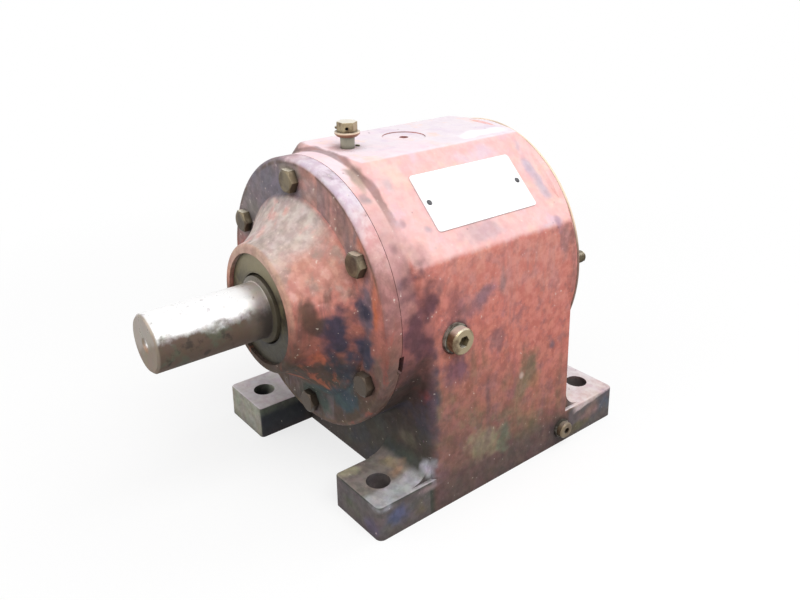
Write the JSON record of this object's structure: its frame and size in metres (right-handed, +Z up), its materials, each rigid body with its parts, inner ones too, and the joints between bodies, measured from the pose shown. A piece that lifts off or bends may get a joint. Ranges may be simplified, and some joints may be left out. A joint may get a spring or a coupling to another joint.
{
  "type": "helical gear reducer",
  "caption": "Foot-mounted in-line helical gear reducer: cast housing, bell-shaped output cover, solid output shaft, motor flange with hollow input shaft.",
  "frame": {"origin": "centre of the four foot-bolt holes, on the base plane", "axes": "+Z up from the base, -Y along the output shaft out of the cover, +X to the side with the nameplate and plugs"},
  "size_m": [0.2731, 0.443, 0.3278],
  "materials": {
    "red_paint": "worn red oxide paint on cast iron",
    "flange_iron": "machined cast iron, thinly painted",
    "gasket": "fibre jointing, matte",
    "bolt_steel": "dark oiled steel",
    "plug_metal": "yellow zinc plate, dulled",
    "washer": "dull",
    "plate": "bare, satin",
    "seal": "oily, dusty",
    "shaft_steel": "ground, stained",
    "gear_steel": "ground teeth, oiled",
    "small_steel": "plain",
    "bearing_steel": "polished"
  },
  "bodies": {
    "casing": {"housing": "red_paint", "output_cover": "red_paint", "front_left_foot": "red_paint", "front_right_foot": "red_paint", "rear_left_foot": "red_paint", "rear_right_foot": "red_paint", "motor_flange": "flange_iron", "cover_gasket": "gasket", "flange_gasket": "gasket", "cover_bolts": "bolt_steel", "motor_studs": "bolt_steel", "flange_screws": "bolt_steel", "lifting_insert": "bolt_steel", "breather_stem": "plug_metal", "breather_collar": "plug_metal", "breather_cap": "plug_metal", "level_plug": "plug_metal", "drain_plug": "plug_metal", "level_plug_washer": "washer", "drain_plug_washer": "washer", "nameplate": "plate", "nameplate_rivets": "plate", "output_seal": "seal", "input_seal": "seal", "input_hub_ring": "small_steel", "output_front_bearing_outer_ring": "bearing_steel", "output_rear_bearing_outer_ring": "bearing_steel", "intermediate_front_bearing_outer_ring": "bearing_steel", "intermediate_rear_bearing_outer_ring": "bearing_steel", "input_front_bearing_outer_ring": "bearing_steel", "input_rear_bearing_outer_ring": "bearing_steel"},
    "output_shaft": {"output_shaft": "shaft_steel", "output_wheel": "gear_steel", "output_wheel_key": "small_steel", "output_spacer": "small_steel", "output_snap_ring": "small_steel", "output_front_bearing_inner_ring": "bearing_steel", "output_rear_bearing_inner_ring": "bearing_steel"},
    "intermediate_shaft": {"intermediate_shaft": "gear_steel", "intermediate_wheel": "gear_steel", "intermediate_key": "small_steel", "intermediate_snap_rings": "small_steel", "intermediate_front_bearing_inner_ring": "bearing_steel", "intermediate_rear_bearing_inner_ring": "bearing_steel"},
    "input_shaft": {"input_shaft": "gear_steel", "input_spacer": "small_steel", "input_snap_ring": "small_steel", "input_front_bearing_inner_ring": "bearing_steel", "input_rear_bearing_inner_ring": "bearing_steel"},
    "output_front_bearing_cage": {"output_front_bearing_balls": "bearing_steel"},
    "output_rear_bearing_cage": {"output_rear_bearing_balls": "bearing_steel"},
    "intermediate_front_bearing_cage": {"intermediate_front_bearing_balls": "bearing_steel"},
    "intermediate_rear_bearing_cage": {"intermediate_rear_bearing_balls": "bearing_steel"},
    "input_front_bearing_cage": {"input_front_bearing_balls": "bearing_steel"},
    "input_rear_bearing_cage": {"input_rear_bearing_balls": "bearing_steel"}
  },
  "joints": [
    {"name": "output_turn", "type": "hinge", "parent": "casing", "child": "output_shaft", "pos_m": [0, -0.1, 0.18], "axis": [0, 1, 0], "continuous": true},
    {"name": "intermediate_turn", "type": "hinge", "parent": "casing", "child": "intermediate_shaft", "pos_m": [-0.03215, 0, 0.09167], "axis": [0, 1, 0], "continuous": true},
    {"name": "input_turn", "type": "hinge", "parent": "casing", "child": "input_shaft", "pos_m": [0, 0.05, 0.18], "axis": [0, 1, 0], "continuous": true},
    {"name": "output_front_bearing_roll", "type": "hinge", "parent": "casing", "child": "output_front_bearing_cage", "pos_m": [0, -0.157, 0.18], "axis": [0, 1, 0], "continuous": true},
    {"name": "output_rear_bearing_roll", "type": "hinge", "parent": "casing", "child": "output_rear_bearing_cage", "pos_m": [0, -0.005, 0.18], "axis": [0, 1, 0], "continuous": true},
    {"name": "intermediate_front_bearing_roll", "type": "hinge", "parent": "casing", "child": "intermediate_front_bearing_cage", "pos_m": [-0.03215, -0.074, 0.09167], "axis": [0, 1, 0], "continuous": true},
    {"name": "intermediate_rear_bearing_roll", "type": "hinge", "parent": "casing", "child": "intermediate_rear_bearing_cage", "pos_m": [-0.03215, 0.068, 0.09167], "axis": [0, 1, 0], "continuous": true},
    {"name": "input_front_bearing_roll", "type": "hinge", "parent": "casing", "child": "input_front_bearing_cage", "pos_m": [0, 0.046, 0.18], "axis": [0, 1, 0], "continuous": true},
    {"name": "input_rear_bearing_roll", "type": "hinge", "parent": "casing", "child": "input_rear_bearing_cage", "pos_m": [0, 0.064, 0.18], "axis": [0, 1, 0], "continuous": true}
  ],
  "couplings": [
    {"joint": "intermediate_turn", "follows": "output_turn", "ratio": -4.2143},
    {"joint": "input_turn", "follows": "output_turn", "ratio": 9.0099},
    {"joint": "output_front_bearing_roll", "follows": "output_turn", "ratio": 0.41176},
    {"joint": "output_rear_bearing_roll", "follows": "output_turn", "ratio": 0.41429},
    {"joint": "intermediate_front_bearing_roll", "follows": "output_turn", "ratio": -1.6585},
    {"joint": "intermediate_rear_bearing_roll", "follows": "output_turn", "ratio": -1.6585},
    {"joint": "input_front_bearing_roll", "follows": "output_turn", "ratio": 3.8292},
    {"joint": "input_rear_bearing_roll", "follows": "output_turn", "ratio": 3.8292}
  ]
}
